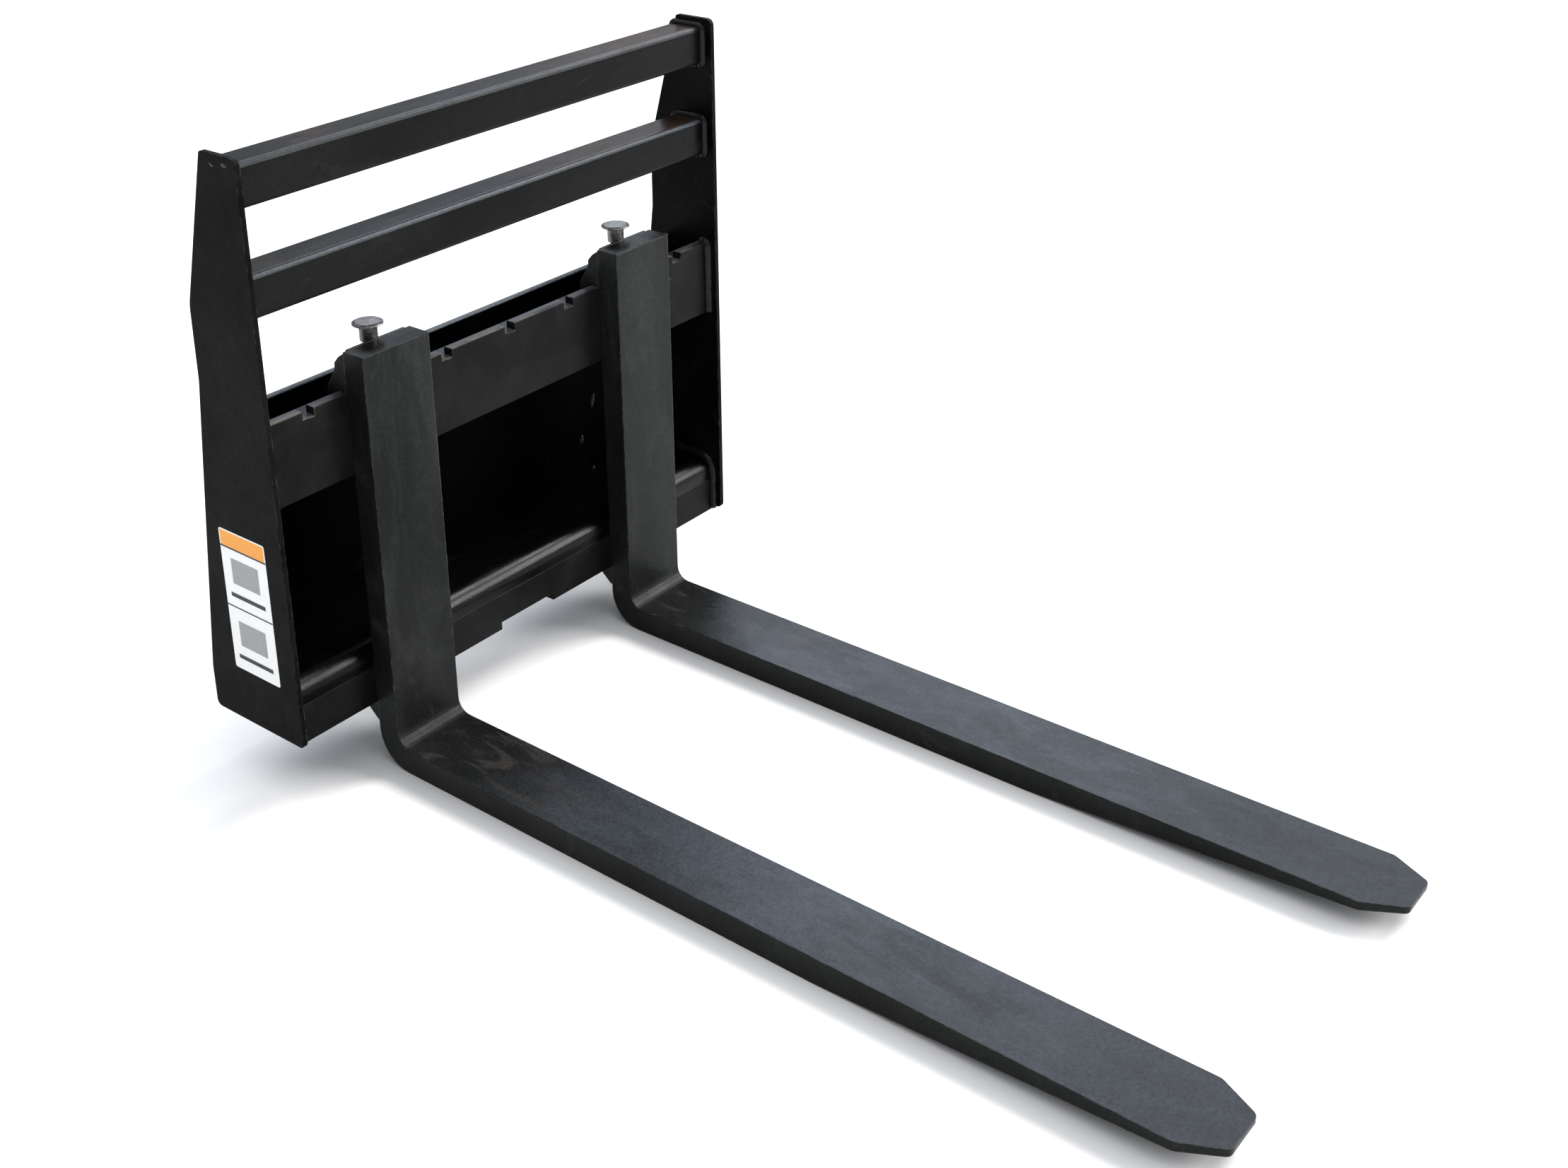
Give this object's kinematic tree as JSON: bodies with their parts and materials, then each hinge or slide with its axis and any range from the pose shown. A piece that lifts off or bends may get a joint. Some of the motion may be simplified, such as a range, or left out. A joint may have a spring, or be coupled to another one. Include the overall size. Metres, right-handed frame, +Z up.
{
  "type": "pallet fork attachment",
  "caption": "Pallet fork attachment: L-shaped forks slide along a carriage between tall side plates and lock with drop pins; hooks onto a small loader's coupler plate.",
  "frame": {"origin": "middle of the upper carriage bar's front face, midway between the side plates", "axes": "+X to the right seen from the fork tips, +Y towards the loader, +Z up; the blades point along -Y"},
  "size_m": [0.7732, 1.2444, 0.7975],
  "materials": {
    "frame_paint": "semi-gloss black paint",
    "fork_paint": "semi-gloss black paint, lightly scuffed",
    "zinc_steel": "zinc plated, slightly stained",
    "bushing_steel": "bare steel",
    "label_film": "plain printed film"
  },
  "bodies": {
    "frame": {"side_plate_left": "frame_paint", "side_plate_right": "frame_paint", "top_rail": "frame_paint", "middle_rail": "frame_paint", "upper_carriage_bar": "frame_paint", "lower_carriage_bar": "frame_paint", "coupler_sheet": "frame_paint", "coupler_lip": "frame_paint", "coupler_foot_flange": "frame_paint", "front_apron": "frame_paint", "bar_gussets": "frame_paint", "apron_gussets": "frame_paint", "side_label": "label_film"},
    "fork_left": {"fork_left": "fork_paint", "upper_hook_left": "fork_paint", "lower_hook_left": "fork_paint", "latch_bushing_left": "bushing_steel"},
    "latch_left": {"latch_pin_left": "zinc_steel", "latch_roll_pin_left": "zinc_steel"},
    "fork_right": {"fork_right": "fork_paint", "upper_hook_right": "fork_paint", "lower_hook_right": "fork_paint", "latch_bushing_right": "bushing_steel"},
    "latch_right": {"latch_pin_right": "zinc_steel", "latch_roll_pin_right": "zinc_steel"}
  },
  "joints": [
    {"name": "fork_left_slide", "type": "slide", "parent": "frame", "child": "fork_left", "axis": [1, 0, 0], "range_m": [-0.1055, 0.1055]},
    {"name": "latch_left_drop", "type": "slide", "parent": "fork_left", "child": "latch_left", "axis": [0, 0, 1], "range_m": [-0.01, 0]},
    {"name": "fork_right_slide", "type": "slide", "parent": "frame", "child": "fork_right", "axis": [1, 0, 0], "range_m": [-0.1055, 0.1055]},
    {"name": "latch_right_drop", "type": "slide", "parent": "fork_right", "child": "latch_right", "axis": [0, 0, 1], "range_m": [-0.01, 0]}
  ]
}
